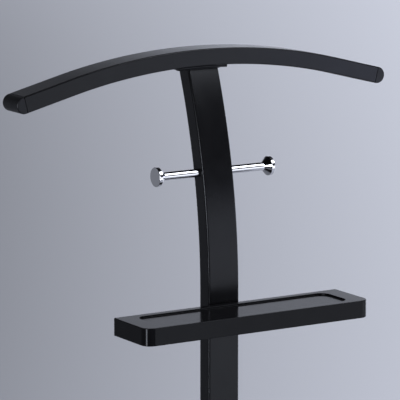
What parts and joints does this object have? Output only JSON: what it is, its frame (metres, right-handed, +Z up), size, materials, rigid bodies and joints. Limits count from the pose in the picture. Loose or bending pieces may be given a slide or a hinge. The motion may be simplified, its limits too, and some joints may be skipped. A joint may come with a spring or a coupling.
{
  "type": "valet stand",
  "caption": "Free-standing valet stand: arched hanger bar on a curved tube post, chrome pegs with disc knobs, a shallow tray in front, and a base of arched runners on levelling feet.",
  "frame": {"origin": "on the floor, under the straight part of the post, which is the middle of the footprint", "axes": "+Z up, X along the hanger bar, -Y towards the front, where the tray is"},
  "size_m": [0.484, 0.32, 1.0825],
  "materials": {
    "powder_coat": "satin black powder coat",
    "cap_plastic": "fine-grained black plastic",
    "chrome": "polished chrome plate",
    "lacquer": "black lacquer on board",
    "black_steel": "black oxide",
    "zinc_steel": "bright zinc plate",
    "brass": "turned",
    "pad_plastic": "moulded black plastic"
  },
  "bodies": {
    "stand": {"post": "powder_coat", "hanger_bar": "powder_coat", "hanger_plate": "powder_coat", "tray_bracket": "powder_coat", "post_foot_plate": "powder_coat", "crossbar": "powder_coat", "runner_left": "powder_coat", "runner_right": "powder_coat", "hanger_cap_left": "cap_plastic", "hanger_cap_right": "cap_plastic", "runner_cap_front_left": "cap_plastic", "runner_cap_front_right": "cap_plastic", "runner_cap_rear_left": "cap_plastic", "runner_cap_rear_right": "cap_plastic", "peg_left": "chrome", "peg_right": "chrome", "tray": "lacquer", "hanger_screws": "black_steel", "tray_screws": "black_steel", "bracket_screws": "black_steel", "foot_plate_screws": "black_steel", "runner_bolts": "black_steel", "hanger_rivet_nuts": "zinc_steel", "bracket_rivet_nuts": "zinc_steel", "foot_plate_rivet_nuts": "zinc_steel", "peg_stud": "zinc_steel", "peg_spacer": "zinc_steel", "runner_spacers": "zinc_steel", "crossbar_plug_left": "zinc_steel", "crossbar_plug_right": "zinc_steel", "tray_inserts": "brass", "foot_inserts": "brass"},
    "foot_front_left": {"foot_pad_front_left": "pad_plastic", "foot_stud_front_left": "zinc_steel"},
    "foot_front_right": {"foot_pad_front_right": "pad_plastic", "foot_stud_front_right": "zinc_steel"},
    "foot_rear_left": {"foot_pad_rear_left": "pad_plastic", "foot_stud_rear_left": "zinc_steel"},
    "foot_rear_right": {"foot_pad_rear_right": "pad_plastic", "foot_stud_rear_right": "zinc_steel"}
  },
  "joints": [
    {"name": "level_front_left", "type": "slide", "parent": "stand", "child": "foot_front_left", "axis": [0, 0, -1], "range_m": [0, 0.008]},
    {"name": "level_front_right", "type": "slide", "parent": "stand", "child": "foot_front_right", "axis": [0, 0, -1], "range_m": [0, 0.008]},
    {"name": "level_rear_left", "type": "slide", "parent": "stand", "child": "foot_rear_left", "axis": [0, 0, -1], "range_m": [0, 0.008]},
    {"name": "level_rear_right", "type": "slide", "parent": "stand", "child": "foot_rear_right", "axis": [0, 0, -1], "range_m": [0, 0.008]}
  ]
}
